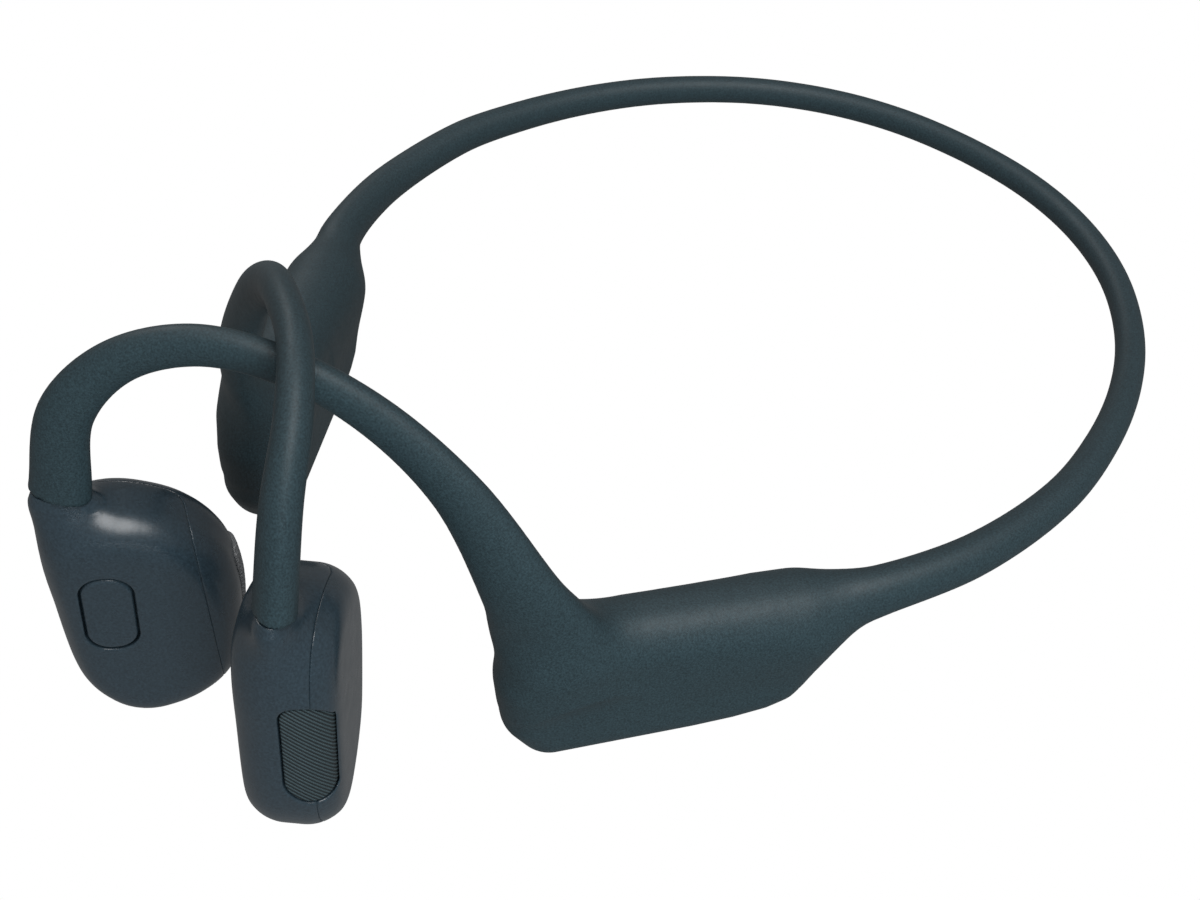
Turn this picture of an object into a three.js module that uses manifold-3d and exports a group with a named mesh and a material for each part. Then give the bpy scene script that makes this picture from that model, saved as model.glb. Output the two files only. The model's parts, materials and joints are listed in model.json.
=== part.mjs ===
// Open-ear bone conduction headset with a sprung neckband, lying with its two ear hooks crossed.
// Millimetres. +Z is up, the wearer's face is towards -Y and the wearer's left is +X.
// The left arm is drawn in place. The right arm is its mirror image, tipped up so that its ear
// hook passes over the left one.
import * as THREE from "three";
import { mergeVertices } from "three/addons/utils/BufferGeometryUtils.js";
import Module from "manifold-3d";

const wasm = await Module();
wasm.setup();

// Clearance between pieces.
const GAP = 0.3;

// Neckband: a superellipse in plan that falls evenly towards the back.
const BAND = { half_width: 46.15, half_length: 56.15, centre_y: 9.8, exponent: 2.15 };
const BAND_HEIGHT = 13.6;
const BAND_FALL = 0.106;
const BAND_HINGE_ANGLE = 50;
const NECK = new THREE.Vector3(40.7, -8.75, 13.6);
const NECK_BEND = new THREE.Vector3(44.6, 1.5, 13.4);
const BAND_BACK_SECTION = [1.55, 1.7];
const BAND_NECK_SECTION = [2.2, 2.45];
const BAND_FLARE_LENGTH = 32;

// The right arm is turned about this line along X and moved a little; its band follows smoothly.
const LIFT_AXIS = { y: -15.8, z: 16 };
const LIFT_ANGLE = THREE.MathUtils.degToRad(5);
const LIFT_MOVE = { y: 1, z: 0.35 };
const LIFT_FULL_Y = -8.7;
const LIFT_NONE_Y = 20;

// Ear hook: centre line from the transducer seam to the pod, half width across the arch and half
// thickness across the ear.
const HOOK_STATIONS = [
  { at: [-13.8, -63.15, 30.7], half_width: 2.95, half_thickness: 1.9 },
  { at: [-12.85, -61, 40.25], half_width: 2.6, half_thickness: 1.8 },
  { at: [-9.8, -56.85, 45.28], half_width: 2.15, half_thickness: 1.65 },
  { at: [-4.6, -52.18, 47.3], half_width: 2.05, half_thickness: 1.55 },
  { at: [2.1, -48.08, 46.35], half_width: 1.9, half_thickness: 1.55 },
  { at: [8.85, -44.1, 41.82], half_width: 2.15, half_thickness: 1.6 },
  { at: [15.6, -41.2, 34.68], half_width: 2.6, half_thickness: 1.7 },
  { at: [21.05, -39.18, 23.83], half_width: 3.8, half_thickness: 2.1 },
  { at: [21.7, -37.9, 18.2], half_width: 4.8, half_thickness: 2.8 },
  { at: [21.6, -37, 12], half_width: 5, half_thickness: 3.3 },
];
const HOOK_LATERAL = new THREE.Vector3(0.541, -0.841, 0);
const HOOK_END_Z = 24;

// Core of every sleeve: the spring wire and the cable side by side in one oval bore.
const CORE_RADIUS = 0.4;
const CORE_OFFSET = 0.62;
const BORE_LONG = 1.5;
const BORE_SHORT = 0.95;

// Pod: a convex core outline grown by a round edge, in its own frame, x backwards, y inwards.
const POD = { origin: [22.1, -36.25, 0], heading: 56.2, round: 3.9, flat: 0.45, wall: 1.1 };
const POD_CORE = [[-1.8, 14.3], [-1.6, 3.9], [21.2, 3.9], [24.2, 7.4], [24.9, 13.4]];
const POD_BOTTOM_X = -1.6;
const NECK_STATIONS = [
  { at: [24.5, 0, 12.1], half_width: 3.3, half_thickness: 3.9 },
  { at: [29.4, 0, 13], half_width: 2.75, half_thickness: 3.05 },
  { at: [33, -0.1, 13.6], half_width: 2.2, half_thickness: 2.45 },
];

// Transducer housing, built like the pod, x rearwards, y inwards towards the skin.
const TRANSDUCER = { origin: [-13.56, -62, 0], heading: 51, round: 4.2, flat: 1.4, wall: 1.1 };
const TRANSDUCER_CORE = [
  [-0.55, 24.1], [-0.6, 11], [-0.2, 6.8], [1.7, 4.2], [4.8, 5.1], [6.9, 6.7], [7.8, 8.4],
  [8.8, 15.5], [8.5, 19.4], [7.5, 21.5], [5.75, 23.3], [2.3, 24.75],
];
// The contact shell takes the skin side of the housing and all of its rear edge, behind a slanted plane.
const PARTING = { y: 2.6, rear_x: 10.4, rear_y: -4.3, slant: THREE.MathUtils.degToRad(-62) };
const ROOT_STATIONS = [
  { at: [-0.98, -0.43, 30.2], half_width: 2.95, half_thickness: 1.9 },
  { at: [-1.4, -0.5, 27], half_width: 3.1, half_thickness: 2.5 },
  { at: [0.2, -0.3, 21.5], half_width: 3.9, half_thickness: 3.5 },
  { at: [1.5, 0, 16], half_width: 4, half_thickness: 3.8 },
];
const FRONT_MESH = { z: 15.3, y: 2.15, height: 13.6, width: 4.5, corner: 2.1, thickness: 0.7 };
const REAR_GRILLE = { z: 14.5, y: 2, height: 10, width: 4.8, corner: 2, thickness: 0.7 };

// Bone conduction driver, round about an axis along y.
const DRIVER = { x: 3.6, z: 13, cup_radius: 5.2, cup_wall: 0.7, magnet_radius: 2.9, coil_inner: 3.4, coil_outer: 4.1 };
const DRIVER_Y = { cup_back: -1.5, cup_front: 1.6, magnet_front: 1.2, coil_front: 3.4, spring_front: 2.2 };

// Multifunction button on the outer face of the left transducer, leaning with the front edge.
const MAIN_BUTTON = { x: 0.95, z: 17.6, width: 4.8, height: 9.6, corner: 2.2, lean: THREE.MathUtils.degToRad(4.7) };
const MAIN_BUTTON_BACK_Y = -2.85;

// Volume buttons, status light and charging socket along the bottom edge of the right pod.
const VOLUME_BUTTON = { length: 4.6, width: 2.6, corner: 1.2, first_x: 2.5, pitch: 6.2 };
const STATUS_LIGHT = { x: 13.1, radius: 0.55, length: 2.4 };
const SOCKET = { x: 19.3, length: 8.9, width: 3.2, depth: 7, wall: 0.3, corner: 1.55 };

const palette = {
  silicone: { color: 0x2b3238, roughness: 0.72, metalness: 0 },
  housing: { color: 0x1a2128, roughness: 0.35, metalness: 0 },
  steel: { color: 0x9aa0a6, roughness: 0.35, metalness: 1 },
  copper: { color: 0xb06a3c, roughness: 0.4, metalness: 1 },
  cable: { color: 0x26292c, roughness: 0.6, metalness: 0 },
  board: { color: 0x1d4a33, roughness: 0.5, metalness: 0 },
  cell: { color: 0x8f9499, roughness: 0.45, metalness: 0.6 },
  mesh: { color: 0x15191c, roughness: 0.6, metalness: 0.4 },
  lens: { color: 0xd8dcdc, roughness: 0.25, metalness: 0 },
};

const headset = new THREE.Group();
const vector = (values) => new THREE.Vector3(...values);

// --- Solids -------------------------------------------------------------------------------------

// A geometry with shared vertices as a solid for joining and cutting.
function solid(geometry) {
  const bare = geometry.clone();
  bare.deleteAttribute("normal");
  bare.deleteAttribute("uv");
  const merged = mergeVertices(bare, 1e-4);
  const vertProperties = new Float32Array(merged.attributes.position.array);
  const triVerts = new Uint32Array(merged.index.array);
  return new wasm.Manifold(new wasm.Mesh({ numProp: 3, vertProperties, triVerts }));
}

function geometryOf(manifold) {
  const { vertProperties, triVerts } = manifold.getMesh();
  const geometry = new THREE.BufferGeometry();
  geometry.setAttribute("position", new THREE.BufferAttribute(new Float32Array(vertProperties), 3));
  geometry.setIndex(new THREE.BufferAttribute(new Uint32Array(triVerts), 1));
  geometry.computeVertexNormals();
  return geometry;
}

// Closed skin through rings of points, with flat ends.
function loft(rings) {
  const count = rings[0].length;
  const end = (rings.length - 1) * count;
  const index = [];
  for (let ring = 0; ring < end; ring += count) {
    for (let i = 0; i < count; i++) {
      const a = ring + i;
      const b = ring + ((i + 1) % count);
      index.push(a, b, a + count, b, b + count, a + count);
    }
  }
  for (let i = 1; i < count - 1; i++) index.push(0, i + 1, i, end, end + i, end + i + 1);
  const geometry = new THREE.BufferGeometry();
  const positions = rings.flat().flatMap((point) => point.toArray());
  geometry.setAttribute("position", new THREE.Float32BufferAttribute(positions, 3));
  geometry.setIndex(index);
  geometry.computeVertexNormals();
  return geometry;
}

// Position and section axes at t on a curve; across stays close to the lateral direction.
function frameAt(curve, t, lateral) {
  const along = curve.getTangent(t);
  const across = lateral.clone().addScaledVector(along, -lateral.dot(along)).normalize();
  const outward = across.clone().cross(along);
  return { centre: curve.getPoint(t), outward, across };
}

// Oval tube on a curve. section(t) gives half width along outward and half thickness along across.
function tube(curve, lateral, section, steps, sides = 14, from = 0, to = 1) {
  const rings = [];
  for (let step = 0; step <= steps; step++) {
    const t = from + ((to - from) * step) / steps;
    const { centre, outward, across } = frameAt(curve, t, lateral);
    const [half_width, half_thickness] = section(t);
    const ring = [];
    for (let i = 0; i < sides; i++) {
      const angle = (2 * Math.PI * i) / sides;
      const point = centre.clone().addScaledVector(outward, half_width * Math.cos(angle));
      ring.push(point.addScaledVector(across, half_thickness * Math.sin(angle)));
    }
    rings.push(ring);
  }
  return loft(rings);
}

// Oval bore of one size along a row of points, running on out through the first one.
function boreAlong(points, lateral, section, steps) {
  const [first, second] = points;
  const outside = first.clone().add(first.clone().sub(second).setLength(1));
  return tube(new THREE.CatmullRomCurve3([outside, ...points]), lateral, () => section, steps, 8);
}

function stationTube(stations, lateral, steps, sides, to = 1) {
  const curve = new THREE.CatmullRomCurve3(stations.map((station) => vector(station.at)));
  const sizes = stations.map(({ half_width, half_thickness }) => new THREE.Vector3(half_width, half_thickness));
  const size_curve = new THREE.CatmullRomCurve3(sizes);
  const section = (t) => size_curve.getPoint(t).toArray();
  return tube(curve, lateral, section, steps, sides, 0, to);
}

// Round-edged slab: a convex core outline in x and z, anticlockwise seen from -y, grown by round.
// The edge is a round bead that ends EDGE_STOP short of the middle of each face.
const EDGE_STOP = THREE.MathUtils.degToRad(20);

function slab(core, round, flat, corner_steps = 3, edge_steps = 7) {
  const corners = core.map(([x, z], i) => {
    const [px, pz] = core.at(i - 1);
    const [nx, nz] = core[(i + 1) % core.length];
    const from = Math.atan2(px - x, z - pz);
    const turn = Math.atan2(x - nx, nz - z) - from;
    return { x, z, from, turn: ((turn + 3 * Math.PI) % (2 * Math.PI)) - Math.PI };
  });
  const rings = [];
  for (let edge = 0; edge <= edge_steps; edge++) {
    const bead = THREE.MathUtils.lerp(EDGE_STOP, Math.PI - EDGE_STOP, edge / edge_steps);
    const y = round * Math.cos(bead) + (Math.sign(edge_steps / 2 - edge) * flat) / 2;
    const reach = round * Math.sin(bead);
    rings.push(corners.flatMap(({ x, z, from, turn }) => Array.from({ length: corner_steps + 1 }, (_, step) => {
      const angle = from + (turn * step) / corner_steps;
      return new THREE.Vector3(x + reach * Math.cos(angle), y, z + reach * Math.sin(angle));
    })));
  }
  return loft(rings);
}

// Rounded rectangle in x and z, centred, with its thickness from y = 0 to y = depth.
function plate(length, height, corner, depth) {
  const shape = new THREE.Shape();
  const x = length / 2 - corner;
  const z = height / 2 - corner;
  shape.absarc(x, z, corner, 0, Math.PI / 2);
  shape.absarc(-x, z, corner, Math.PI / 2, Math.PI);
  shape.absarc(-x, -z, corner, Math.PI, 1.5 * Math.PI);
  shape.absarc(x, -z, corner, 1.5 * Math.PI, 2 * Math.PI);
  const geometry = new THREE.ExtrudeGeometry(shape, { depth, bevelEnabled: false, curveSegments: 4 });
  return geometry.rotateX(Math.PI / 2).translate(0, depth, 0);
}

function box(low, high) {
  const size = vector(high).sub(vector(low));
  const centre = vector(high).add(vector(low)).multiplyScalar(0.5);
  return new THREE.BoxGeometry(size.x, size.y, size.z).translate(centre.x, centre.y, centre.z);
}

// Disc or ring about an axis along y, from one y to another.
function ring(outer, inner, from, to, sides = 24) {
  const profile = [[inner, from], [outer, from], [outer, to], [inner, to], [inner, from]];
  const points = profile.map(([radius, y]) => new THREE.Vector2(radius, y));
  return new THREE.LatheGeometry(points, sides);
}

function placement({ origin, heading }) {
  const turn = new THREE.Matrix4().makeRotationZ(THREE.MathUtils.degToRad(heading));
  return turn.setPosition(...origin);
}

const join = (...geometries) => geometryOf(geometries.map(solid).reduce((whole, piece) => whole.add(piece)));
const cut = (geometry, ...tools) => geometryOf(tools.map(solid).reduce((rest, tool) => rest.subtract(tool), solid(geometry)));
const common = (geometry, other) => geometryOf(solid(geometry).intersect(solid(other)));

// --- Placing ------------------------------------------------------------------------------------

function add(name, geometry, look) {
  const mesh = new THREE.Mesh(geometry, new THREE.MeshStandardMaterial(palette[look]));
  mesh.name = name;
  headset.add(mesh);
}

// Mirrors a left-arm geometry to the right and tips it up about the lift axis.
function toRight(geometry) {
  const mirrored = geometry.clone().scale(-1, 1, 1);
  const position = mirrored.attributes.position;
  for (let i = 0; i < position.count; i++) {
    const y = position.getY(i) - LIFT_AXIS.y;
    const z = position.getZ(i) - LIFT_AXIS.z;
    const share = 1 - THREE.MathUtils.smoothstep(position.getY(i), LIFT_FULL_Y, LIFT_NONE_Y);
    const angle = -LIFT_ANGLE * share;
    position.setY(i, LIFT_AXIS.y + LIFT_MOVE.y * share + y * Math.cos(angle) - z * Math.sin(angle));
    position.setZ(i, LIFT_AXIS.z + LIFT_MOVE.z * share + y * Math.sin(angle) + z * Math.cos(angle));
  }
  const index = mirrored.index.array;
  for (let i = 0; i < index.length; i += 3) [index[i], index[i + 1]] = [index[i + 1], index[i]];
  mirrored.computeVertexNormals();
  return mirrored;
}

function addSide(side, name, geometry, look) {
  const indexed = geometry.index ? geometry : mergeVertices(geometry);
  add(`${side}_${name}`, side === "right" ? toRight(indexed) : indexed, look);
}

// --- Neckband -----------------------------------------------------------------------------------

// Point on the band; 0 degrees is the wearer's left, 90 degrees the back.
function bandPoint(angle) {
  const radians = THREE.MathUtils.degToRad(angle);
  const power = 2 / BAND.exponent;
  const bulge = (value) => Math.sign(value) * Math.abs(value) ** power;
  const x = BAND.half_width * bulge(Math.cos(radians));
  const y = BAND.centre_y + BAND.half_length * bulge(Math.sin(radians));
  return new THREE.Vector3(x, y, BAND_HEIGHT - BAND_FALL * y);
}

const UP = new THREE.Vector3(0, 0, 1);

function bandCurve(from, to) {
  const angles = Array.from({ length: 9 }, (_, i) => from + ((to - from) * i) / 8);
  return new THREE.CatmullRomCurve3(angles.map(bandPoint));
}

const back_curve = bandCurve(BAND_HINGE_ANGLE, 180 - BAND_HINGE_ANGLE);
const side_curve = new THREE.CatmullRomCurve3([NECK, NECK_BEND, ...[5, 16, 27, 38, BAND_HINGE_ANGLE].map(bandPoint)]);

function sideSection(t) {
  const flare = Math.exp(-side_curve.getPoint(t).distanceTo(NECK) / BAND_FLARE_LENGTH);
  return BAND_BACK_SECTION.map((half, i) => THREE.MathUtils.lerp(half, BAND_NECK_SECTION[i], flare));
}

const bore_in_band = () => [BORE_SHORT, BORE_LONG];
const core_section = () => [CORE_RADIUS, CORE_RADIUS];

// Wire or cable in the band: the band curve moved up or down in the bore.
function shifted(curve, lateral, offset, along_outward, count, from = 0, to = 1) {
  const points = [];
  for (let i = 0; i <= count; i++) {
    const { centre, outward, across } = frameAt(curve, from + ((to - from) * i) / count, lateral);
    points.push(centre.addScaledVector(along_outward ? outward : across, offset));
  }
  return points;
}

function core(points, steps) {
  const curve = new THREE.CatmullRomCurve3(points);
  return tube(curve, new THREE.Vector3(0.3, -0.5, 0.8).normalize(), core_section, steps, 6);
}

function addNeckband() {
  // The back length stops half a gap short of each side length.
  const trim = 0.004;
  const sleeve = tube(back_curve, UP, () => BAND_BACK_SECTION, 18, 12, trim, 1 - trim);
  const bore = tube(back_curve, UP, bore_in_band, 18, 8);
  add("back_band_sleeve", cut(sleeve, bore), "silicone");
  add("back_band_wire", core(shifted(back_curve, UP, CORE_OFFSET, false, 16, trim, 1 - trim), 18), "steel");
  add("back_band_cable", core(shifted(back_curve, UP, -CORE_OFFSET, false, 16, trim, 1 - trim), 18), "cable");
}

// --- Arms ---------------------------------------------------------------------------------------

const pod_place = placement(POD);
const transducer_place = placement(TRANSDUCER);
const inPod = (point) => vector(point).applyMatrix4(pod_place);
const pod_stations = NECK_STATIONS.map((station) => ({ ...station, at: inPod(station.at).toArray() }));
const hook_curve = new THREE.CatmullRomCurve3(HOOK_STATIONS.map((station) => vector(station.at)));
const HOOK_LAST_CORE_T = 0.87;

// Everything above a height, or below it, as one large block.
const above = (z) => box([-100, -100, z], [100, 100, 100]);
const below = (z) => box([-100, -100, -10], [100, 100, z]);

function armOuter() {
  const hook = stationTube(HOOK_STATIONS, HOOK_LATERAL, 24, 12);
  const pod = slab(POD_CORE, POD.round, POD.flat).applyMatrix4(pod_place);
  const neck = stationTube(pod_stations, UP, 5, 12);
  return join(hook, pod, neck);
}

function armCavity() {
  const hook_bore = boreAlong(hook_curve.points, HOOK_LATERAL, [BORE_LONG, BORE_SHORT], 24);
  const pod = slab(POD_CORE, POD.round - POD.wall, POD.flat, 2, 5).applyMatrix4(pod_place);
  const neck_points = pod_stations.map((station) => vector(station.at)).reverse();
  const neck_bore = boreAlong(neck_points, UP, [BORE_SHORT + 0.2, BORE_LONG + 0.15], 6);
  return join(hook_bore, pod, neck_bore);
}

// Holes in the bottom edge of the right pod, in the frame of that edge.
const bottom_place = new THREE.Matrix4().makeTranslation(POD_BOTTOM_X, 0, 0).premultiply(pod_place);

// Upright rounded bar in the bottom frame: length along x, width along y, from one z to another.
function bottomBar(x, length, width, corner, from, to) {
  const bar = plate(length, width, corner, to - from).rotateX(Math.PI / 2);
  return bar.translate(x, 0, from);
}

function bottomHoles() {
  const holes = volumeButtonPlaces().map((x) => {
    const { length, width, corner } = VOLUME_BUTTON;
    return bottomBar(x, length + 2 * GAP, width + 2 * GAP, corner + GAP, -3, 2);
  });
  const light = STATUS_LIGHT.radius + GAP;
  holes.push(bottomBar(STATUS_LIGHT.x, 2 * light, 2 * light, light - 0.01, -3, 2));
  const { x, length, width, corner } = SOCKET;
  holes.push(bottomBar(x, length + 2 * GAP, width + 2 * GAP, corner + GAP, -3, 4));
  return holes.map((hole) => hole.applyMatrix4(bottom_place));
}

function volumeButtonPlaces() {
  return [VOLUME_BUTTON.first_x, VOLUME_BUTTON.first_x + VOLUME_BUTTON.pitch];
}

function addArmSkin(side) {
  const skin = cut(armOuter(), armCavity());
  addSide(side, "hook_sleeve", common(skin, above(HOOK_END_Z)), "silicone");
  const pod = common(skin, below(HOOK_END_Z - GAP));
  const holes = side === "right" ? bottomHoles() : [];
  const outward_half = box([-60, -60, -10], [60, -GAP / 2, 60]).applyMatrix4(pod_place);
  const inward_half = box([-60, GAP / 2, -10], [60, 60, 60]).applyMatrix4(pod_place);
  addSide(side, "pod_shell", cut(common(pod, outward_half), ...holes), "silicone");
  addSide(side, "pod_cover", cut(common(pod, inward_half), ...holes), "silicone");
}

function addBandSide(side) {
  const last = 0.996;
  const first = 0.013;
  const sleeve = tube(side_curve, UP, sideSection, 16, 12, first, last);
  const bore = tube(side_curve, UP, bore_in_band, 16, 8);
  addSide(side, "band_sleeve", cut(sleeve, bore), "silicone");
  const through_pod = [[29.4, 0, 13.6], [25.5, -0.5, 13.3], [19, -1, 13.8], [7, -1, 13.9], [1.5, -0.9, 14.8], [-0.7, -0.6, 16.6]];
  const band_wire = shifted(side_curve, UP, CORE_OFFSET, false, 10, last, 0.03);
  const hook_wire = shifted(hook_curve, HOOK_LATERAL, CORE_OFFSET, true, 22, HOOK_LAST_CORE_T, 0.01);
  addSide(side, "arm_wire", core([...band_wire, ...through_pod.map(inPod), ...hook_wire], 48), "steel");
  const band_cable = shifted(side_curve, UP, -CORE_OFFSET, false, 10, last, 0.03);
  addSide(side, "band_cable", core([...band_cable, inPod([29.4, 0, 12.4]), inPod([26.6, -0.2, 11.6])], 24), "cable");
  const hook_cable = shifted(hook_curve, HOOK_LATERAL, -CORE_OFFSET, true, 22, HOOK_LAST_CORE_T, 0.01);
  const cable_end = [inPod([-2.4, -0.3, 14.6]), inPod([-2.1, -0.45, 16.6])];
  addSide(side, "hook_cable", core([...cable_end, ...hook_cable], 28), "cable");
}

// --- Transducers --------------------------------------------------------------------------------

function transducerRoot(grow) {
  const stations = ROOT_STATIONS.map((station) => ({
    at: station.at,
    half_width: station.half_width + grow,
    half_thickness: station.half_thickness + grow,
  }));
  return stationTube(stations, new THREE.Vector3(0, 1, 0), 7, 12);
}

// Prism through the wall for a vent window, along x, on the side that sign gives.
function windowPrism({ y, z, height, width, corner }, sign, shrink) {
  const prism = plate(width - 2 * shrink, height - 2 * shrink, corner - shrink, 8).rotateZ(Math.PI / 2);
  return prism.translate(sign > 0 ? 16 + shrink : -2 - shrink, y, z);
}

function transducerBody(round_less, corner_steps = 2, edge_steps = 7) {
  return slab(TRANSDUCER_CORE, TRANSDUCER.round - round_less, TRANSDUCER.flat, corner_steps, edge_steps);
}

function buttonBar(depth, grow, from_y) {
  const { width, height, corner, lean, x, z } = MAIN_BUTTON;
  const bar = plate(width + 2 * grow, height + 2 * grow, corner + grow, depth);
  return bar.rotateY(lean).translate(x, from_y, z);
}

function addTransducer(side) {
  const place = (name, geometry, look) => addSide(side, name, geometry.applyMatrix4(transducer_place), look);
  const outer = join(transducerBody(0), transducerRoot(0));
  const root_points = ROOT_STATIONS.map(({ at }) => vector(at));
  const root_bore = boreAlong(root_points, new THREE.Vector3(0, 1, 0), [BORE_LONG, BORE_SHORT], 8);
  const cavity = join(transducerBody(TRANSDUCER.wall, 1, 5), root_bore);
  const windows = [windowPrism(FRONT_MESH, -1, 0), windowPrism(REAR_GRILLE, 1, 0)];
  const walls = cut(outer, cavity, ...windows);
  const rear = (side_y) => {
    const half = box([-60, side_y, -5], [60, 60, 60]).rotateZ(PARTING.slant);
    return half.translate(PARTING.rear_x, PARTING.rear_y, 0);
  };
  const inward = (side_y) => join(box([-60, PARTING.y + side_y, -5], [60, 60, 60]), rear(side_y));
  const button_hole = side === "left" ? [buttonBar(4, GAP, -7)] : [];
  place("transducer_shell", cut(walls, inward(-GAP / 2), ...button_hole), "housing");
  place("contact_shell", common(walls, inward(GAP / 2)), "housing");
  for (const [name, vent, sign] of [["front_mesh", FRONT_MESH, -1], ["rear_grille", REAR_GRILLE, 1]]) {
    const skin = cut(transducerBody(0), transducerBody(vent.thickness));
    place(name, common(skin, windowPrism(vent, sign, GAP)), "mesh");
  }
  addDriver(place);
  place("air_speaker", box([-0.4, -2.3, 3.1], [5, 2.3, 6.5]), "mesh");
  place("microphone", box([-2.9, -0.8, 19.3], [-1.9, 1.2, 21.2]), "steel");
}

// Magnet cup with its magnet, voice coil and spring plate. The coil is fixed to the contact side.
function addDriver(place) {
  const { cup_back, cup_front, magnet_front, coil_front, spring_front } = DRIVER_Y;
  const centred = (geometry) => geometry.translate(DRIVER.x, 0, DRIVER.z);
  const bore = DRIVER.cup_radius - DRIVER.cup_wall;
  const floor = cup_back + DRIVER.cup_wall;
  const lathe = (profile) => {
    const points = profile.map(([radius, y]) => new THREE.Vector2(radius, y));
    return new THREE.LatheGeometry(points, 24);
  };
  const cup = [[0, cup_back], [DRIVER.cup_radius, cup_back], [DRIVER.cup_radius, cup_front], [bore, cup_front]];
  place("magnet_cup", centred(lathe([...cup, [bore, floor], [0, floor]])), "steel");
  const magnet = [[0, floor + GAP], [DRIVER.magnet_radius, floor + GAP], [DRIVER.magnet_radius, magnet_front]];
  place("magnet", centred(lathe([...magnet, [0, magnet_front]])), "steel");
  place("voice_coil", centred(ring(DRIVER.coil_outer, DRIVER.coil_inner, magnet_front - 1, coil_front)), "copper");
  place("spring_plate", centred(ring(DRIVER.cup_radius + 0.5, bore + 0.1, spring_front - 0.3, spring_front)), "steel");
}

function addMainButton() {
  const place = (name, geometry) => addSide("left", name, geometry.applyMatrix4(transducer_place), "housing");
  const face = -(TRANSDUCER.round * Math.cos(EDGE_STOP) + TRANSDUCER.flat / 2);
  const cap = buttonBar(MAIN_BUTTON_BACK_Y - 0.4 - face, 0, face);
  const flange = buttonBar(0.5, 0.2, MAIN_BUTTON_BACK_Y - 0.5);
  add("multifunction_button", join(cap, flange).applyMatrix4(transducer_place), "housing");
  const { x, z } = MAIN_BUTTON;
  const back = MAIN_BUTTON_BACK_Y + 0.4;
  place("button_switch", box([x - 1.6, back, z - 1.6], [x + 1.6, back + 0.6, z + 1.6]));
}

// --- Electronics --------------------------------------------------------------------------------

function addBattery() {
  const place = (name, geometry, look) => addSide("left", name, geometry.applyMatrix4(pod_place), look);
  place("battery_cell", plate(19.4, 8.6, 1, 4.2).translate(11.3, -2.1, 7.1), "cell");
  const board = box([22.2, -0.5, 5.6], [25.2, 0.4, 10.6]);
  const chip = box([22.7, 0.3, 6.6], [24.6, 1.2, 9.6]);
  place("protection_board", join(board, chip), "board");
}

function addMainBoard() {
  const board = box([2, 0.3, 7.7], [24, 1.2, 12]);
  const chips = [[4, 8.4], [10.4, 13.4], [15.2, 17.8]].map(([low, high]) => box([low, -0.8, 8.2], [high, 0.5, 11.5]));
  addSide("right", "main_board", join(board, ...chips).applyMatrix4(pod_place), "board");
}

function addBottomPieces() {
  const place = (name, geometry, look) => addSide("right", name, geometry.applyMatrix4(bottom_place), look);
  const { length, width, corner } = VOLUME_BUTTON;
  ["volume_up", "volume_down"].forEach((name, i) => {
    const x = volumeButtonPlaces()[i];
    const cap = bottomBar(x, length, width, corner, -0.15, 2.2);
    const flange = bottomBar(x, length + 0.8, width + 0.4, corner, 2.15, 2.7);
    place(`${name}_button`, join(cap, flange), "silicone");
    place(`${name}_switch`, box([x - 1.5, -1.2, 3.3], [x + 1.5, 1.2, 4.3]), "steel");
  });
  const light = new THREE.CylinderGeometry(STATUS_LIGHT.radius, STATUS_LIGHT.radius, STATUS_LIGHT.length, 16);
  place("status_light", light.rotateX(Math.PI / 2).translate(STATUS_LIGHT.x, 0, STATUS_LIGHT.length / 2), "lens");
  const socket = SOCKET;
  const sleeve = bottomBar(socket.x, socket.length, socket.width, socket.corner, 0.5, 0.5 + socket.depth - 0.6);
  const mouth = bottomBar(
    socket.x, socket.length - 2 * socket.wall, socket.width - 2 * socket.wall, socket.corner - socket.wall,
    -1, socket.depth - 0.6,
  );
  const tongue = box([socket.x - 3.3, -0.35, 2], [socket.x + 3.3, 0.35, socket.depth - 0.3]);
  place("charging_socket", join(cut(sleeve, mouth), tongue), "steel");
}

addNeckband();
for (const side of ["left", "right"]) {
  addArmSkin(side);
  addBandSide(side);
  addTransducer(side);
}
addMainButton();
addBattery();
addMainBoard();
addBottomPieces();

export default headset;
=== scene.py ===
"""Looks of an open-ear bone conduction headset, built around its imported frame.

Every shape is a distance field in millimetres, meshed on a fine grid and then moved onto the exact
surface. Left-hand pieces are made in place. Right-hand pieces are made as left-hand ones, mirrored and
tipped up as the right arm is.
"""
import json
import math

import bmesh
import bpy
import numpy as np
import openvdb
from mathutils import Matrix, Vector


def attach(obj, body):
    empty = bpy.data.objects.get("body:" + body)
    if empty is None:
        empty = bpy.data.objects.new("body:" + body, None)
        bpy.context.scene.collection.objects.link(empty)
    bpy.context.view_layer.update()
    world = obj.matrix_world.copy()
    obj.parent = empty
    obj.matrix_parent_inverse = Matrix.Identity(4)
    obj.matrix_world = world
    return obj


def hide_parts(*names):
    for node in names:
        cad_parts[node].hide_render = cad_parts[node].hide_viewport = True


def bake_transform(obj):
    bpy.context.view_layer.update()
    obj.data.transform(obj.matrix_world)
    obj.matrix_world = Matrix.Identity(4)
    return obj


MM = 0.001
UP = (0, 0, 1)

# --- View and light ---------------------------------------------------------------------------------

CAMERA_AZIMUTH = 42.74
CAMERA_ELEVATION = 45.76
CAMERA_ROLL = 0.27
CAMERA_DISTANCE = 211.5
CAMERA_TARGET = (-1.09, -4.79, 1.38)
CAMERA_LENS = 54.69

LIGHT_TARGET = (0, -10, 15)
WORLD_STRENGTH = 0.25
FLOOR_HALF_SIZE = 4000

# --- Dimensions of the frame that the looks follow --------------------------------------------------

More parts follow.
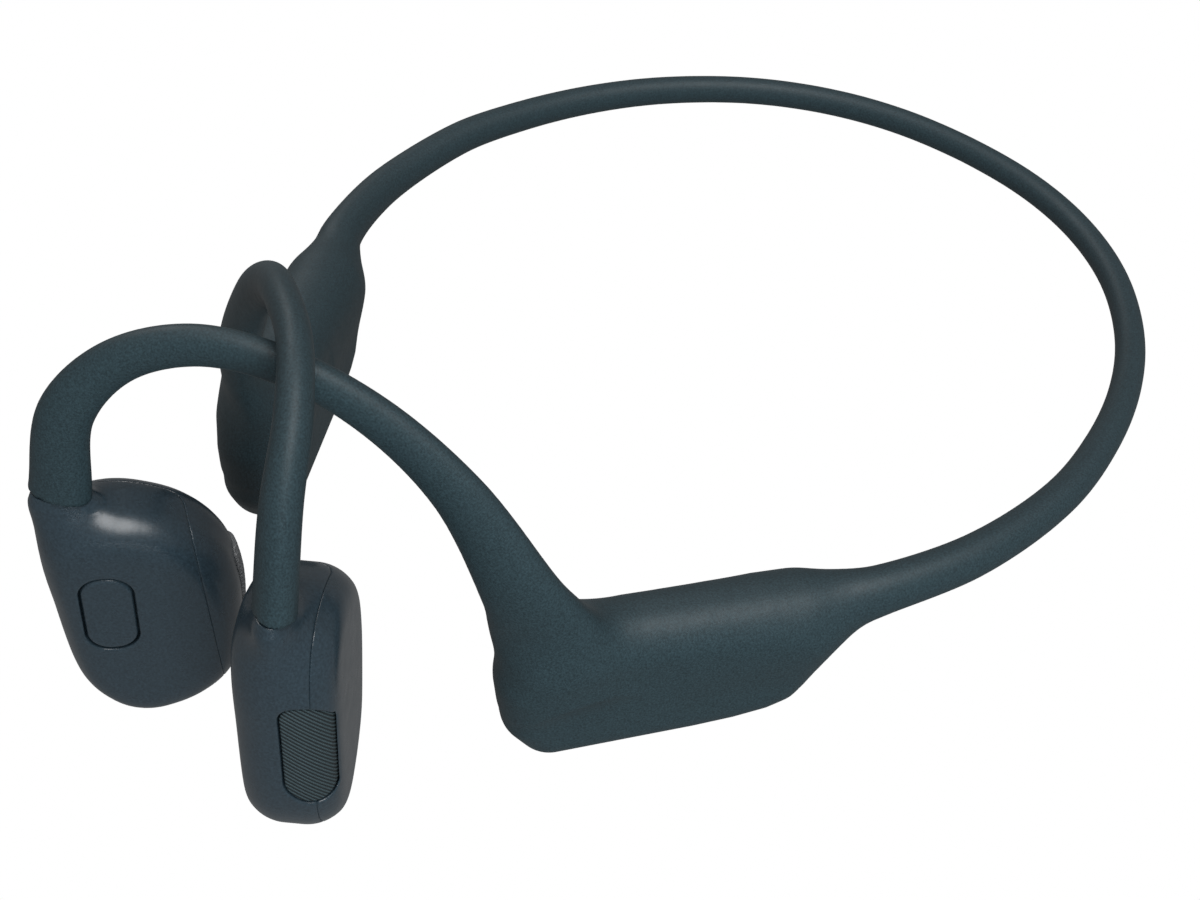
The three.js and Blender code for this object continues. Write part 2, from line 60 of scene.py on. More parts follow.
BAND_HALF_WIDTH = 46.15
BAND_HALF_LENGTH = 56.15
BAND_CENTRE_Y = 9.8
BAND_EXPONENT = 2.15
BAND_HEIGHT = 13.6
BAND_FALL = 0.106
BAND_ANGLES = (5, 16, 27, 38, 50, 60, 70, 80, 90, 98)
NECK = (40.7, -8.75, 13.6)
NECK_BEND = (44.6, 1.5, 13.4)
BAND_BACK_SECTION = (1.55, 1.7)
BAND_NECK_SECTION = (2.4, 2.65)
BAND_FLARE_LENGTH = 32

LIFT_AXIS_Y = -15.8
LIFT_AXIS_Z = 16
LIFT_ANGLE = math.radians(5)
LIFT_MOVE_Y = 1
LIFT_MOVE_Z = 0.35
LIFT_FULL_Y = -8.7
LIFT_NONE_Y = 20

# Centre line points with half width across the arch and half thickness across the ear.
HOOK = [
    (-14.1, -63.4, 30.7, 2.95, 1.9),
    (-12.95, -61.1, 40.25, 2.5, 1.8),
    (-9.8, -56.85, 45.28, 2.15, 1.65),
    (-4.6, -52.18, 47.3, 2.05, 1.55),
    (2.1, -48.08, 46.35, 1.9, 1.55),
    (8.85, -44.1, 41.82, 2.15, 1.6),
    (15.6, -41.2, 34.68, 2.75, 1.7),
    (21.05, -39.18, 23.83, 4.1, 2.2),
    (22, -37.5, 18.2, 5.2, 2.8),
    (22.6, -36.2, 12, 3.8, 2.5),
]
HOOK_LATERAL = (0.541, -0.841, 0)

POD_ORIGIN = (22.1, -36.25, 0)
POD_HEADING = 56.2
POD_ROUND = 3.9
POD_FLAT = 0.45
POD_CORE = [
    (-1.9, 11.8), (-1.75, 3.9), (3, 3.9), (16.1, 3.9), (21.7, 4.7), (23.1, 6.7), (24, 8.7), (24.6, 11.8),
    (19, 13.2), (4, 13.8),
]
POD_NECK = [
    (15, 0, 11.3, 2, 2.5),
    (24.5, 0, 12.2, 3.3, 3.7),
    (29.4, 0, 13.1, 2.9, 3.25),
    (33, -0.1, 13.7, 2.45, 2.7),
]
POD_BAND_BLEND = 4
POD_HOOK_BLEND = 5

TRANSDUCER_ORIGIN = (-13.56, -62, 0)
TRANSDUCER_HEADING = 51
TRANSDUCER_ROUND = 4.2
TRANSDUCER_FLAT = 1.7
TRANSDUCER_CORE = [
    (-0.55, 24.1), (-0.6, 11), (-0.2, 6.8), (1.7, 4.2), (4.8, 5.1), (6.9, 6.7), (7.8, 8.4),
    (8.8, 15.5), (8.5, 19.4), (7.5, 21.5), (5.75, 23.3), (2.3, 24.75),
]
TRANSDUCER_FACE = 4.75
FACE_EDGE_ROUND = 0.8
# The contact shell takes the skin side of the housing and all of its rear edge, behind a slanted plane.
PARTING_Y = 2.6
PARTING_REAR = (9.9, -4.3)
PARTING_SLANT = math.radians(80)
PARTING_BLEND = 2
ROOT = [
    (-1.4, -0.47, 30.8, 2.65, 1.6),
    (-1.5, -0.49, 29.95, 2.9, 1.88),
    (-1.6, -0.5, 29.2, 2.97, 1.99),
    (-1.45, -0.5, 27, 2.95, 2.4),
    (0.2, -0.3, 21.5, 3.7, 3.3),
    (1.5, 0, 16, 3.4, 3.4),
]
ROOT_BLEND = 2.6
# How far the ends of a vent fall for each millimetre inwards is its "fall".
FRONT_VENT = {"y": 2.1, "z": 15.2, "width": 4.6, "height": 13.2, "corner": 2.25, "fall": 0.3}
REAR_VENT = {"y": 2, "z": 14.5, "width": 4.8, "height": 10, "corner": 2, "fall": 0}
MAIN_BUTTON = {"x": 0.75, "z": 17.6, "width": 4.8, "height": 10, "corner": 2.2, "lean": math.radians(4.7)}
# Along the housing, the front vent's pocket ends at the first place and the rear one's at the second.
FRONT_VENT_STOP = -0.2
REAR_VENT_STOP = 10.4
VENT_STOP_GAP = 0.2
POCKET_DEPTH = 1.3
TRIM_CLEARANCE = 0.12
TRIM_EDGE_ROUND = 0.3
INSERT_DEPTH = 1.0
RIB_PITCH = 0.52
RIB_HEIGHT = 0.1
GRILLE_RISE = 0.25
# Depths of the main button and of its pocket across the housing, from its middle plane.
BUTTON_BACK = 3.2
BUTTON_POCKET_BACK = 2.6
BUTTON_CLEARANCE = 0.2
BUTTON_EDGE_ROUND = 0.45
SEAM_ROUND = 0.16
# The two shells of a housing overlap by this much, so that nothing shows through their seam.
SEAM_OVERLAP = 0.02

# Bottom edge of the right pod: places along it, and sizes as length, width and corner.
BOTTOM_X = -1.6
VOLUME_BUTTONS = (2.5, 8.7)
VOLUME_BUTTON_SIZE = (4.6, 2.6, 1.2)
VOLUME_BUTTON_MIDDLE_Z = 1.05
VOLUME_BUTTON_HALF_HEIGHT = 1.2
VOLUME_BUTTON_EDGE_ROUND = 0.6
VOLUME_POCKET_DEPTH = 2.9
STATUS_LIGHT = (13.1, 0.55)
STATUS_LIGHT_DEPTH = 2.6
SOCKET = (19.3, 8.9, 3.2, 1.55)
SOCKET_DEPTH = 6.8
POCKET_CLEARANCE = 0.25
POCKET_EDGE_ROUND = 0.25

# --- Grid of the meshes, in millimetres, and two counts -----------------------------------------------

SKIN_VOXEL = 0.32
HOUSING_VOXEL = 0.17
TRIM_VOXEL = 0.13
BLOCK = 6
CHUNK = 20000
# Boxes to look for each surface in: lowest and highest corner, in the frame that its field works in.
SKIN_BOX = ((-19, -68, -0.6), (49, 69, 52))
HOUSING_BOX = ((-6.5, -5.6, -0.6), (13.6, 5.6, 32))
CLOTH_BOX = ((-6, -1.5, 8), (2.4, 5.4, 24))
GRILLE_BOX = ((8, -1, 9), (13.8, 5.4, 20.4))
MAIN_BUTTON_BOX = ((-4, -5.6, 12), (5, -2.8, 24))

# --- Colours and finish -------------------------------------------------------------------------------

SILICONE_COLOUR = (0.014, 0.027, 0.033)
HOUSING_COLOUR = (0.014, 0.024, 0.032)
CLOTH_COLOUR = (0.016, 0.026, 0.03)
GRILLE_COLOUR = (0.1, 0.105, 0.11)
TWILL_PITCH = 0.32

# Finish of each inner slot: base colour, roughness and metallic.
INNER_LOOKS = {
    "spring_wire": ((0.55, 0.55, 0.56), 0.3, 1.0),
    "cable_jacket": ((0.02, 0.02, 0.02), 0.55, 0.0),
    "magnet_steel": ((0.6, 0.6, 0.62), 0.28, 1.0),
    "copper_coil": ((0.6, 0.3, 0.15), 0.35, 1.0),
    "speaker_plastic": ((0.03, 0.03, 0.035), 0.5, 0.0),
    "switch_metal": ((0.6, 0.6, 0.6), 0.35, 1.0),
    "cell_foil": ((0.6, 0.62, 0.64), 0.4, 1.0),
    "circuit_board": ((0.02, 0.12, 0.06), 0.45, 0.0),
    "light_lens": ((0.7, 0.72, 0.72), 0.25, 0.0),
    "socket_steel": ((0.5, 0.5, 0.52), 0.3, 1.0),
}


# --- Camera, light and floor ------------------------------------------------------------------------


def make_camera():
    azimuth, elevation, roll = (math.radians(a) for a in (CAMERA_AZIMUTH, CAMERA_ELEVATION, CAMERA_ROLL))
    back = Vector((math.sin(azimuth) * math.cos(elevation), -math.cos(azimuth) * math.cos(elevation),
                   math.sin(elevation)))
    right = Vector((math.cos(azimuth), math.sin(azimuth), 0))
    up = back.cross(right)
    turned_right = right * math.cos(roll) + up * math.sin(roll)
    turned_up = up * math.cos(roll) - right * math.sin(roll)
    camera = bpy.data.objects.new("camera", bpy.data.cameras.new("camera"))
    camera.data.lens = CAMERA_LENS
    camera.data.sensor_width = 36
    camera.data.clip_start = 0.01
    place = (Vector(CAMERA_TARGET) + back * CAMERA_DISTANCE) * MM
    turn = Matrix((turned_right, turned_up, back)).transposed().to_4x4()
    camera.matrix_world = Matrix.Translation(place) @ turn
    bpy.context.collection.objects.link(camera)
    bpy.context.scene.camera = camera


def soft_light(name, place, size, power):
    """Square area light of a size in millimetres, turned to the middle of the headset."""
    data = bpy.data.lights.new(name, "AREA")
    data.shape = "SQUARE"
    data.size = size * MM
    data.energy = power
    light = bpy.data.objects.new(name, data)
    direction = (Vector(LIGHT_TARGET) - Vector(place)).normalized()
    turn = direction.to_track_quat("-Z", "Y").to_matrix().to_4x4()
    light.matrix_world = Matrix.Translation(Vector(place) * MM) @ turn
    bpy.context.collection.objects.link(light)
    return light


def make_studio():
    world = bpy.data.worlds.new("studio")
    world.use_nodes = True
    background = world.node_tree.nodes["Background"]
    background.inputs["Color"].default_value = (1, 1, 1, 1)
    background.inputs["Strength"].default_value = WORLD_STRENGTH
    bpy.context.scene.world = world
    bpy.context.scene.view_settings.view_transform = "Standard"
    soft_light("overhead", (255, -25, 700), 420, 4.5)
    soft_light("side", (-560, 120, 520), 300, 1.6)
    front = soft_light("front", (330, -250, 130), 200, 2)
    front.visible_glossy = False
    corners = np.array([[-1, -1, 0], [1, -1, 0], [1, 1, 0], [-1, 1, 0]], float) * FLOOR_HALF_SIZE
    floor = grid_object("floor", corners, [(0, 1, 2, 3)])
    give(floor, light_table())
    floor.visible_diffuse = False
    floor.visible_glossy = False


# --- Distance fields --------------------------------------------------------------------------------


def turned(origin, heading):
    """Functions from the common frame to a turned local frame, and back."""
    angle = math.radians(heading)
    c, s = math.cos(angle), math.sin(angle)
    rows = np.array([[c, s, 0], [-s, c, 0], [0, 0, 1]])
    start = np.array(origin, float)
    return (lambda points: (points - start) @ rows.T), (lambda points: points @ rows + start)


to_pod, from_pod = turned(POD_ORIGIN, POD_HEADING)
from_transducer = turned(TRANSDUCER_ORIGIN, TRANSDUCER_HEADING)[1]


def smooth_min(a, b, blend):
    share = np.maximum(blend - np.abs(a - b), 0) / blend
    return np.minimum(a, b) - share * share * blend / 4


def smooth_max(a, b, blend):
    return -smooth_min(-a, -b, blend)


def path_samples(stations, spacing):
    """Evenly dense samples of a centripetal Catmull-Rom curve through rows of numbers."""
    rows = np.array(stations, float)
    ends = [2 * rows[0] - rows[1], 2 * rows[-1] - rows[-2]]
    rows = np.vstack([ends[0], rows, ends[1]])
    samples = []
    for i in range(1, len(rows) - 2):
        four = rows[i - 1:i + 3]
        steps = np.linalg.norm(np.diff(four[:, :3], axis=0), axis=1) ** 0.5
        knots = np.concatenate([[0], np.cumsum(steps)])
        count = max(2, int(np.linalg.norm(four[2, :3] - four[1, :3]) / spacing))
        for t in np.linspace(knots[1], knots[2], count, endpoint=False):
            first = [between(four[j], four[j + 1], knots[j], knots[j + 1], t) for j in range(3)]
            second = [between(first[j], first[j + 1], knots[j], knots[j + 2], t) for j in range(2)]
            samples.append(between(second[0], second[1], knots[1], knots[2], t))
    samples.append(rows[-2])
    return np.array(samples)


def between(a, b, low, high, t):
    return (a * (high - t) + b * (t - low)) / (high - low)


def tube_field(stations, lateral, spacing=0.6, end_round=0.2):
    """Field of an oval tube with flat ends. Half width lies across the lateral direction."""
    rows = path_samples(stations, spacing)
    centres, halves = rows[:, :3], rows[:, 3:5]
    along = np.gradient(centres, axis=0)
    length = np.linalg.norm(along, axis=1, keepdims=True)
    along /= length
    across = lateral - along * (along @ lateral)[:, None]
    across /= np.linalg.norm(across, axis=1, keepdims=True)
    outward = np.cross(across, along)
    last = len(centres) - 1
    squares = (centres * centres).sum(1)

    def field(points):
        nearest = np.argmin(squares - 2 * points @ centres.T, axis=1)
        ahead = ((points - centres[nearest]) * along[nearest]).sum(1)
        other = np.clip(nearest + np.sign(ahead).astype(int), 0, last)
        gap = np.linalg.norm(centres[other] - centres[nearest], axis=1)
        share = np.clip(np.abs(ahead) / np.maximum(gap, 1e-9), 0, 1)[:, None]
        centre, half, out, side_on = (
            values[nearest] + (values[other] - values[nearest]) * share
            for values in (centres, halves, outward, across)
        )
        a = ((points - centre) * out).sum(1)
        b = ((points - centre) * side_on).sum(1)
        scaled = np.hypot(a / half[:, 0], b / half[:, 1]) + 1e-9
        slope = np.hypot(a / half[:, 0] ** 2, b / half[:, 1] ** 2) + 1e-9
        side = np.maximum(scaled * (scaled - 1) / slope, -half.min(1))
        cap = np.where(nearest == 0, -ahead, np.where(nearest == last, ahead, -9))
        return smooth_max(side, cap, end_round)

    return field


def slab_field(core, edge, flat, softening=0):
    """Field of a convex outline in x and z, grown by a round edge.

    Softening is how many times the outline's corners are cut.
    """
    corners = np.array(core, float)
    for _ in range(softening):
        ahead = np.roll(corners, -1, axis=0)
        corners = np.stack([0.78 * corners + 0.22 * ahead, 0.22 * corners + 0.78 * ahead], 1).reshape(-1, 2)
    sides = np.roll(corners, -1, axis=0) - corners
    normals = np.stack([sides[:, 1], -sides[:, 0]], 1) / np.linalg.norm(sides, axis=1, keepdims=True)
    if (normals * (corners - corners.mean(0))).sum() < 0:
        normals = -normals

    def field(points):
        plan = points[:, [0, 2]]
        offset = plan[:, None] - corners
        share = np.clip((offset * sides).sum(2) / (sides * sides).sum(1), 0, 1)
        distance = np.linalg.norm(offset - share[..., None] * sides, axis=2).min(1)
        inside = (offset * normals).sum(2).max(1)
        plan_distance = np.where(inside > 0, distance, inside)
        over = np.abs(points[:, 1]) - flat / 2
        outer = np.hypot(np.maximum(plan_distance, 0), np.maximum(over, 0))
        return outer + np.minimum(np.maximum(plan_distance, over), 0) - edge

    return field


def bar_distance(u, v, length, width, corner):
    """Plane distance to a rounded rectangle centred on the origin."""
    du = np.abs(u) - length / 2 + corner
    dv = np.abs(v) - width / 2 + corner
    return np.hypot(np.maximum(du, 0), np.maximum(dv, 0)) + np.minimum(np.maximum(du, dv), 0) - corner


# --- Meshing ----------------------------------------------------------------------------------------


def evaluate(field, points):
    return np.concatenate([field(points[i:i + CHUNK]) for i in range(0, len(points), CHUNK)])


def mesh_field(field, box, voxel):
    """Quads of the surface where the field is zero, inside a box, moved onto the exact surface."""
    low, high = np.array(box, float)
    cells = (np.ceil((high - low) / (voxel * BLOCK)).astype(int) + 1) * BLOCK
    blocks = cells // BLOCK
    corner = np.stack(np.meshgrid(*(np.arange(n) for n in blocks), indexing="ij"), -1).reshape(-1, 3)
    centre = low + (corner + 0.5) * BLOCK * voxel
    reach = voxel * BLOCK * 1.35
    value = evaluate(field, centre)
    values = np.repeat(np.repeat(np.repeat(value.reshape(blocks), BLOCK, 0), BLOCK, 1), BLOCK, 2)
    values = np.clip(values, -1, 1).astype(np.float32)
    inner = np.stack(np.meshgrid(*[np.arange(BLOCK)] * 3, indexing="ij"), -1).reshape(-1, 3)
    index = (corner[np.abs(value) < reach][:, None] * BLOCK + inner).reshape(-1, 3)
    near = evaluate(field, low + index * voxel)
    values[tuple(index.T)] = np.clip(near, -1, 1)
    grid = openvdb.FloatGrid(1.0)
    grid.copyFromArray(values)
    points, quads = grid.convertToQuads(0.0)
    points = low + points.astype(float) * voxel
    for _ in range(3):
        points = onto_surface(field, points, voxel)
    return points, quads[:, ::-1]


def onto_surface(field, points, voxel):
    step = voxel * 0.2
    value = evaluate(field, points)
    slope = np.stack([
        (evaluate(field, points + step * axis) - evaluate(field, points - step * axis)) / (2 * step)
        for axis in np.eye(3)
    ], 1)
    move = -value[:, None] * slope / np.maximum((slope * slope).sum(1), 0.3)[:, None]
    length = np.linalg.norm(move, axis=1, keepdims=True)
    return points + move * np.minimum(1, 0.5 * voxel / np.maximum(length, 1e-9))


def grid_object(name, points, faces):
    mesh = bpy.data.meshes.new(name)
    mesh.from_pydata((np.asarray(points) * MM).tolist(), [], [list(map(int, face)) for face in faces])
    mesh.validate()
    mesh.polygons.foreach_set("use_smooth", [True] * len(mesh.polygons))
    piece = bpy.data.objects.new(name, mesh)
    bpy.context.collection.objects.link(piece)
    return piece


def to_right(points):
    """Mirrors left-hand points to the right arm and tips them up as it is."""
    x, y, z = -points[:, 0], points[:, 1], points[:, 2]
    step = np.clip((y - LIFT_FULL_Y) / (LIFT_NONE_Y - LIFT_FULL_Y), 0, 1)
    share = 1 - step * step * (3 - 2 * step)
    angle = -LIFT_ANGLE * share
    dy, dz = y - LIFT_AXIS_Y, z - LIFT_AXIS_Z
    new_y = LIFT_AXIS_Y + LIFT_MOVE_Y * share + dy * np.cos(angle) - dz * np.sin(angle)
    new_z = LIFT_AXIS_Z + LIFT_MOVE_Z * share + dy * np.sin(angle) + dz * np.cos(angle)
    return np.stack([x, new_y, new_z], 1)


def side_object(side, name, points, faces):
    if side == "right":
        points, faces = to_right(points), faces[:, ::-1]
    return grid_object(f"{side}_{name}" if name else side, points, faces)


# --- Silicone skin ----------------------------------------------------------------------------------


def band_point(degrees):
    """Point on the neckband: 0 degrees is the wearer's left, 90 degrees the back."""
    angle = math.radians(degrees)
    power = 2 / BAND_EXPONENT
    x = BAND_HALF_WIDTH * math.copysign(abs(math.cos(angle)) ** power, math.cos(angle))
    y = BAND_CENTRE_Y + BAND_HALF_LENGTH * abs(math.sin(angle)) ** power
    return np.array([x, y, BAND_HEIGHT - BAND_FALL * y])


def band_stations():
    """The band from inside the pod to a little past the middle of the back."""
    stations = []
    for x, y, z, half_width, half_thickness in POD_NECK:
        place = from_pod(np.array([[x, y, z]], float))[0]
        stations.append((*place, half_width, half_thickness))
    points = [np.array(NECK_BEND)] + [band_point(angle) for angle in BAND_ANGLES]
    for point in points:
        flare = math.exp(-np.linalg.norm(point - NECK) / BAND_FLARE_LENGTH)
        section = [back + (neck - back) * flare for back, neck in zip(BAND_BACK_SECTION, BAND_NECK_SECTION)]
        stations.append((*point, *section))
    return stations


def bottom_pockets(local):
    """Field of the openings in the right pod's bottom edge, in the pod's frame."""
    light_x, light_radius = STATUS_LIGHT
    bars = [(x, *VOLUME_BUTTON_SIZE, VOLUME_POCKET_DEPTH) for x in VOLUME_BUTTONS]
    bars.append((light_x, 2 * light_radius, 2 * light_radius, light_radius - 0.01, STATUS_LIGHT_DEPTH))
    bars.append((*SOCKET, SOCKET_DEPTH))
    pockets = []
    for x, length, width, corner, depth in bars:
        along = local[:, 0] - BOTTOM_X - x
        outline = bar_distance(along, local[:, 1], length + 2 * POCKET_CLEARANCE,
                               width + 2 * POCKET_CLEARANCE, corner + POCKET_CLEARANCE)
        pockets.append(np.maximum(outline, local[:, 2] - depth))
    return np.min(pockets, axis=0)


def arm_skin_field(side):
    hook = tube_field(HOOK, HOOK_LATERAL, spacing=0.5, end_round=0.12)
    band = tube_field(band_stations(), UP)
    pod = slab_field(POD_CORE, POD_ROUND, POD_FLAT, softening=1)

    def field(points):
        local = to_pod(points)
        skin = smooth_min(pod(local), band(points), POD_BAND_BLEND)
        skin = smooth_min(skin, hook(points), POD_HOOK_BLEND)
        return smooth_max(skin, -bottom_pockets(local), POCKET_EDGE_ROUND) if side == "right" else skin

    return field


def make_arm_skin(side):
    points, quads = mesh_field(arm_skin_field(side), SKIN_BOX, SKIN_VOXEL)
    skin = side_object(side, "skin", points, quads)
    close_at_middle(skin)
    give(skin, silicone())
    names = ("hook_sleeve", "pod_shell", "pod_cover", "band_sleeve")
    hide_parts("back_band_sleeve", *(f"{side}_{name}" for name in names))
    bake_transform(skin)


def close_at_middle(skin):
    """Cuts the band at the middle of the back and closes it with the flat face that meets the other half."""
    sign = 1 if skin.name.startswith("left") else -1
    work = bmesh.new()
    work.from_mesh(skin.data)
    back = [v for v in work.verts if v.co.y > 0.05]
    edges = {e for v in back for e in v.link_edges}
    faces = {f for v in back for f in v.link_faces}
    bmesh.ops.bisect_plane(work, geom=back + list(edges) + list(faces), plane_co=(0, 0, 0),
                           plane_no=(-sign, 0, 0), clear_outer=True)
    rim = [e for e in work.edges if e.is_boundary]
    cap = bmesh.ops.contextual_create(work, geom=rim)["faces"]
    for face in cap:
        face.smooth = False
    for edge in rim:
        edge.smooth = False
    work.to_mesh(skin.data)
    work.free()


# --- Transducers ------------------------------------------------------------------------------------


def transducer_body():
    slab = slab_field(TRANSDUCER_CORE, TRANSDUCER_ROUND, TRANSDUCER_FLAT, softening=3)
    root = tube_field(ROOT, (0, 1, 0), spacing=0.15, end_round=0.12)

    def field(local):
        body = smooth_min(slab(local), root(local), ROOT_BLEND)
        return smooth_max(body, np.abs(local[:, 1]) - TRANSDUCER_FACE, FACE_EDGE_ROUND)

    return field


def vent_outline(local, vent, grow=0.0):
    across = local[:, 1] - vent["y"]
    return bar_distance(across, local[:, 2] - vent["z"] + vent["fall"] * across,
                        vent["width"] + 2 * grow, vent["height"] + 2 * grow, vent["corner"] + grow)


def button_outline(local, grow=0.0):
    lean = MAIN_BUTTON["lean"]
    x, z = local[:, 0] - MAIN_BUTTON["x"], local[:, 2] - MAIN_BUTTON["z"]
    u = x * math.cos(lean) - z * math.sin(lean)
    v = x * math.sin(lean) + z * math.cos(lean)
    return bar_distance(u, v, MAIN_BUTTON["width"] + 2 * grow, MAIN_BUTTON["height"] + 2 * grow,
                        MAIN_BUTTON["corner"] + grow)


def inward_of_parting(local):
    """Positive on the contact shell's side of the parting."""
    rear = (local[:, 0] - PARTING_REAR[0]) * math.sin(PARTING_SLANT)
    rear += (local[:, 1] - PARTING_REAR[1]) * math.cos(PARTING_SLANT)
    return smooth_max(local[:, 1] - PARTING_Y, rear, PARTING_BLEND)


def housing_field(side, inward):
    """Outer shell, or the contact shell if inward, with its share of the vent and button pockets."""
    body = transducer_body()

    def field(local):
        whole = body(local)
        depth = -(whole + POCKET_DEPTH)
        front = np.maximum(np.maximum(vent_outline(local, FRONT_VENT), depth), local[:, 0] - FRONT_VENT_STOP)
        rear = np.maximum(np.maximum(vent_outline(local, REAR_VENT), depth), REAR_VENT_STOP - local[:, 0])
        pockets = np.minimum(front, rear)
        if side == "left" and not inward:
            button = np.maximum(button_outline(local, BUTTON_CLEARANCE), depth)
            pockets = np.minimum(pockets, np.maximum(button, local[:, 1] + BUTTON_POCKET_BACK))
        inner = inward_of_parting(local)
        past = (-inner if inward else inner) - SEAM_OVERLAP
        return smooth_max(smooth_max(whole, past, SEAM_ROUND), -pockets, SEAM_ROUND)

    return field


def cloth_field():
    body = transducer_body()

    def field(local):
        whole = body(local)
        sheet = np.maximum(whole + TRIM_CLEARANCE, -(whole + INSERT_DEPTH))
        outline = vent_outline(local, FRONT_VENT, -TRIM_CLEARANCE)
        outline = np.maximum(outline, local[:, 0] - FRONT_VENT_STOP + VENT_STOP_GAP)
        return smooth_max(sheet, outline, TRIM_EDGE_ROUND)

    return field


def grille_field():
    body = transducer_body()

    def field(local):
        whole = body(local)
        rib = RIB_HEIGHT * np.cos(2 * np.pi * local[:, 2] / RIB_PITCH)
        sheet = np.maximum(whole - GRILLE_RISE - rib, -(whole + INSERT_DEPTH))
        outline = vent_outline(local, REAR_VENT, -TRIM_CLEARANCE)
        outline = np.maximum(outline, REAR_VENT_STOP + VENT_STOP_GAP - local[:, 0])
        return smooth_max(sheet, outline, TRIM_EDGE_ROUND)

    return field


def button_field():
    body = transducer_body()

    def field(local):
        slab = np.maximum(body(local), local[:, 1] + BUTTON_BACK)
        return smooth_max(slab, button_outline(local), BUTTON_EDGE_ROUND)

    return field


def transducer_piece(side, name, field, box, voxel, look, body, node):
    points, quads = mesh_field(field, box, voxel)
    piece = side_object(side, name, from_transducer(points), quads)
    give(piece, look)
    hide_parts(node)
    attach(piece, body)


def make_transducer(side):
    arm = f"{side}_arm"
    for name, inward in (("transducer_housing", False), ("contact_housing", True)):
        node = f"{side}_contact_shell" if inward else f"{side}_transducer_shell"
        transducer_piece(side, name, housing_field(side, inward), HOUSING_BOX, HOUSING_VOXEL,
                         housing(), arm, node)
    transducer_piece(side, "vent_cloth", cloth_field(), CLOTH_BOX, TRIM_VOXEL,
                     vent_cloth(), arm, f"{side}_front_mesh")
    transducer_piece(side, "ribbed_grille", grille_field(), GRILLE_BOX, TRIM_VOXEL,
                     grille_plastic(), arm, f"{side}_rear_grille")
    if side == "left":
        transducer_piece("left", "main_button", button_field(), MAIN_BUTTON_BOX, TRIM_VOXEL,
                         housing(), "multifunction_button", "multifunction_button")


def volume_button_field(place):
    def field(local):
        outline = bar_distance(local[:, 0] - BOTTOM_X - place, local[:, 1], *VOLUME_BUTTON_SIZE)
        height = np.abs(local[:, 2] - VOLUME_BUTTON_MIDDLE_Z) - VOLUME_BUTTON_HALF_HEIGHT
        return smooth_max(outline, height, VOLUME_BUTTON_EDGE_ROUND)

    return field


def make_volume_buttons():
    for name, place in zip(("volume_up", "volume_down"), VOLUME_BUTTONS):
        box = ((BOTTOM_X + place - 3, -2, -0.6), (BOTTOM_X + place + 3, 2, 2.7))
        points, quads = mesh_field(volume_button_field(place), box, TRIM_VOXEL)
        button = side_object("right", f"{name}_key", from_pod(points), quads)
        give(button, silicone("button_rubber"))
        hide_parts(f"right_{name}_button")
        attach(button, f"{name}_button")


# --- Materials --------------------------------------------------------------------------------------


class Look:
    """A node material on the shader's own sockets, with helpers for textures in object space."""

    def __init__(self, name, colour, roughness, metallic=0.0):
        self.material = bpy.data.materials.new(name)
        self.material.use_nodes = True
        self.tree = self.material.node_tree
        self.shader = self.tree.nodes["Principled BSDF"]
        self.colour = colour
        self.shader.inputs["Base Color"].default_value = (*colour, 1)
        self.shader.inputs["Roughness"].default_value = roughness
        self.shader.inputs["Metallic"].default_value = metallic
        self.place = self.node("ShaderNodeTexCoord").outputs["Object"]
        self.material.diffuse_color = (*colour, 1)

    def node(self, kind, **values):
        node = self.tree.nodes.new(kind)
        for key, value in values.items():
            if hasattr(node, key):
                setattr(node, key, value)
            else:
                node.inputs[key].default_value = value
        return node

    def link(self, source, target):
        self.tree.links.new(source, target)

    def noise(self, scale, detail=2.0):
        noise = self.node("ShaderNodeTexNoise", Scale=scale, Detail=detail)
        self.link(self.place, noise.inputs["Vector"])
        return noise.outputs["Fac"]

    def vary_colour(self, source, spread, low=0.3, high=0.7):
        ramp = self.node("ShaderNodeValToRGB")
        for element, place, factor in zip(ramp.color_ramp.elements, (low, high), (1 - spread, 1 + spread)):
            element.position = place
            element.color = (*(min(1, c * factor) for c in self.colour), 1)
        self.link(source, ramp.inputs["Fac"])
        self.link(ramp.outputs["Color"], self.shader.inputs["Base Color"])

    def vary_roughness(self, source, low, high):
        span = self.node("ShaderNodeMapRange")
        span.inputs["To Min"].default_value = low
        span.inputs["To Max"].default_value = high
        self.link(source, span.inputs["Value"])
        self.link(span.outputs["Result"], self.shader.inputs["Roughness"])

    def bump(self, source, depth_mm, strength=1.0):
        bump = self.node("ShaderNodeBump")
        bump.inputs["Distance"].default_value = depth_mm * MM
        bump.inputs["Strength"].default_value = strength
        self.link(source, bump.inputs["Height"])
        if self.shader.inputs["Normal"].is_linked:
            self.link(self.shader.inputs["Normal"].links[0].from_socket, bump.inputs["Normal"])
        self.link(bump.outputs["Normal"], self.shader.inputs["Normal"])


def cached(make):
    made = {}

    def wrapped(*key):
        if key not in made:
            made[key] = make(*key)
        return made[key]

    return wrapped


@cached
def silicone(name="silicone_skin"):
    look = Look(name, SILICONE_COLOUR, 0.5)
    grain = look.noise(5200, 3)
    look.vary_colour(grain, 0.35)
    look.vary_roughness(look.noise(900, 2), 0.5, 0.62)
    look.bump(grain, 0.012, 0.5)
    look.shader.inputs["Specular IOR Level"].default_value = 0.36
    return look.material


@cached
def housing():
    look = Look("housing", HOUSING_COLOUR, 0.28)
    grain = look.noise(4200, 3)
    look.vary_colour(grain, 0.25)
    look.vary_roughness(look.noise(700, 2), 0.24, 0.34)
    look.bump(grain, 0.006, 0.35)
    return look.material


@cached
def vent_cloth():
    look = Look("vent_cloth", CLOTH_COLOUR, 0.62)
    weave = twill(look, TWILL_PITCH)
    look.vary_colour(weave, 0.7, 0.1, 0.9)
    look.bump(weave, 0.08, 1.0)
    return look.material


